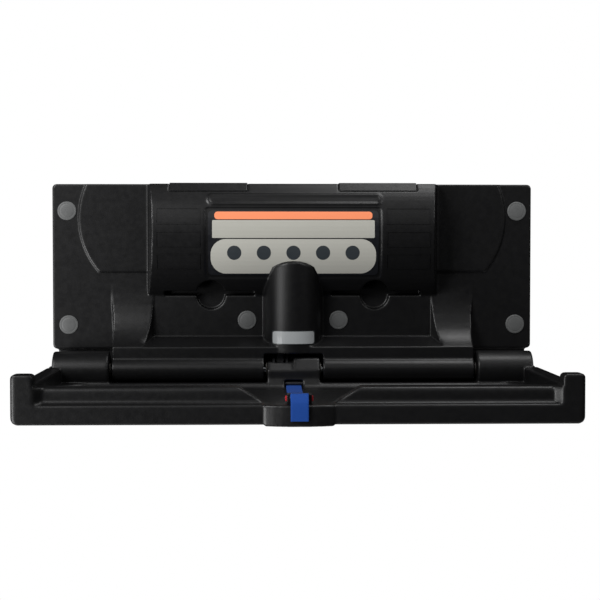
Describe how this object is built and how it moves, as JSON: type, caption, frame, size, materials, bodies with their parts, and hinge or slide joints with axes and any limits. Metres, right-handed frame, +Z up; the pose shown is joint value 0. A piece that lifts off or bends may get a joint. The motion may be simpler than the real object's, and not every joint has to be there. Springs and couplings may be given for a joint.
{
  "type": "baby changing station",
  "caption": "Horizontal wall-mounted changing station with a fold-down bed, safety strap with buckle, liner dispenser with lids and a gas spring.",
  "frame": {"origin": "on the wall plane, at the middle of the width and at the height of the hinge axis", "axes": "+X to the user's right along the hinge, +Y into the wall, +Z up"},
  "size_m": [0.899, 0.4671, 0.3989],
  "materials": {
    "black_polyethylene": "moulded, fine stipple and satin",
    "black_acetal": "injection moulded",
    "grey_plastic": "injection moulded, satin",
    "pale_nylon": "turned",
    "red_plastic": "injection moulded",
    "zinc_steel": "zinc plated",
    "turned_steel": "turned and ground",
    "black_painted_steel": "satin powder coat",
    "blue_webbing": "woven nylon",
    "printed_label": "printed film",
    "silver_plate": "satin film"
  },
  "bodies": {
    "panel": {"panel_shell": "black_polyethylene", "wall_plate": "zinc_steel", "info_label": "printed_label", "name_plate": "silver_plate", "hinge_rod": "turned_steel", "rod_retainer_left": "turned_steel", "rod_retainer_right": "turned_steel", "lid_pin_left": "turned_steel", "lid_pin_right": "turned_steel", "gas_cylinder": "black_painted_steel", "gas_bracket": "zinc_steel", "gas_pin": "turned_steel", "hole_cap_1": "grey_plastic", "hole_cap_2": "grey_plastic", "hole_cap_3": "grey_plastic", "hole_cap_4": "grey_plastic", "hole_cap_5": "grey_plastic", "hole_cap_6": "grey_plastic", "plate_screw_1": "zinc_steel", "plate_screw_2": "zinc_steel", "plate_screw_3": "zinc_steel", "plate_screw_4": "zinc_steel", "plate_screw_5": "zinc_steel", "plate_screw_6": "zinc_steel"},
    "bed": {"bed_tray": "black_polyethylene", "bed_underside": "black_polyethylene", "bed_stiffener_left": "zinc_steel", "bed_stiffener_right": "zinc_steel", "end_bush_left": "pale_nylon", "end_bush_right": "pale_nylon", "middle_bush_left": "pale_nylon", "middle_bush_right": "pale_nylon", "crank_plate_left": "black_painted_steel", "crank_plate_right": "black_painted_steel", "crank_pin": "turned_steel", "strap_anchor_pin": "turned_steel", "safety_strap": "blue_webbing", "buckle_frame": "black_acetal", "buckle_grip_bar": "turned_steel", "bed_screw_1": "zinc_steel", "bed_screw_2": "zinc_steel", "bed_screw_3": "zinc_steel", "bed_screw_4": "zinc_steel", "bed_screw_5": "zinc_steel", "bed_screw_6": "zinc_steel"},
    "gas_rod": {"gas_rod": "turned_steel", "rod_yoke": "black_painted_steel"},
    "lid_left": {"dispenser_lid_left": "black_polyethylene"},
    "lid_right": {"dispenser_lid_right": "black_polyethylene"},
    "button_left": {"buckle_button_left": "red_plastic"},
    "button_right": {"buckle_button_right": "red_plastic"}
  },
  "joints": [
    {"name": "bed_fold", "type": "hinge", "parent": "panel", "child": "bed", "pos_m": [0, -0.06, 0], "axis": [-1, 0, 0], "range_deg": [0, 90]},
    {"name": "gas_rod_slide", "type": "slide", "parent": "panel", "child": "gas_rod", "axis": [0, 0, -1], "range_m": [0, 0.03677]},
    {"name": "lid_left_hinge", "type": "hinge", "parent": "panel", "child": "lid_left", "pos_m": [-0.155, -0.014, 0.337], "axis": [-1, 0, 0], "range_deg": [0, 95]},
    {"name": "lid_right_hinge", "type": "hinge", "parent": "panel", "child": "lid_right", "pos_m": [0.155, -0.014, 0.337], "axis": [-1, 0, 0], "range_deg": [0, 95]},
    {"name": "button_left_press", "type": "slide", "parent": "bed", "child": "button_left", "axis": [1, 0, 0], "range_m": [0, 0.0016], "stiffness_N_per_m": 400, "springref_m": -0.0005},
    {"name": "button_right_press", "type": "slide", "parent": "bed", "child": "button_right", "axis": [-1, 0, 0], "range_m": [0, 0.0016], "stiffness_N_per_m": 400, "springref_m": -0.0005}
  ],
  "couplings": [
    {"joint": "gas_rod_slide", "follows": "bed_fold", "m_per_rad": 0.023409}
  ]
}
